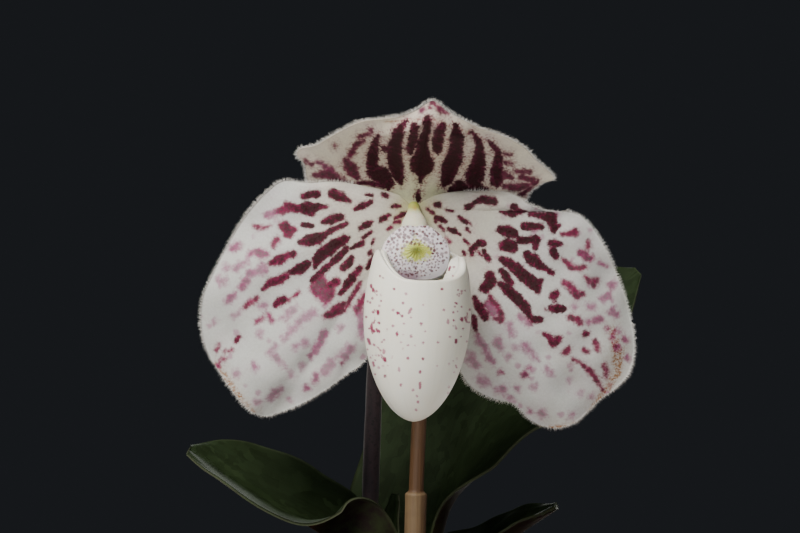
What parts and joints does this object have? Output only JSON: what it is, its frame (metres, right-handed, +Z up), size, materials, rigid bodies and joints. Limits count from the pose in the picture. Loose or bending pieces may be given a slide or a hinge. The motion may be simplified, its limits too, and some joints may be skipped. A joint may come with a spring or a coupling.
{
  "type": "potted slipper orchid",
  "caption": "Potted slipper orchid in flower: round spotted petals and hood, egg-shaped pouch, hairy stem, strap leaves, cane and bark in a plain clay pot.",
  "frame": {"origin": "middle of the pot's flat base", "axes": "+Z up; the flower looks along -Y; +X is to the right for someone who looks at the flower's face"},
  "size_m": [0.1019, 0.0811, 0.1539],
  "materials": {
    "terracotta": "unglazed fired clay, matt",
    "bark": "rough damp bark chips",
    "rootstock": "dry fibrous stock",
    "leaf": "waxy mottled leaf, satin",
    "flower_stem": "downy stem, matt",
    "bract": "downy thin leaf, matt",
    "ovary": "downy ribbed, matt",
    "sepal": "velvety petal tissue, matt",
    "petal": "velvety petal tissue, matt",
    "lip": "smooth waxy, satin",
    "column": "smooth waxy, satin",
    "staminode": "downy shield, matt",
    "cane": "dry split cane, matt"
  },
  "bodies": {
    "root": {"pot": "terracotta", "potting_mix": "bark", "crown": "rootstock", "leaf_left": "leaf", "leaf_right": "leaf", "leaf_low_left": "leaf", "leaf_low_right": "leaf", "leaf_young": "leaf", "scape": "flower_stem", "bract": "bract", "ovary": "ovary", "dorsal_sepal": "sepal", "synsepal": "sepal", "petal_left": "petal", "petal_right": "petal", "pouch": "lip", "column": "column", "staminode": "staminode", "stake": "cane"}
  },
  "joints": []
}
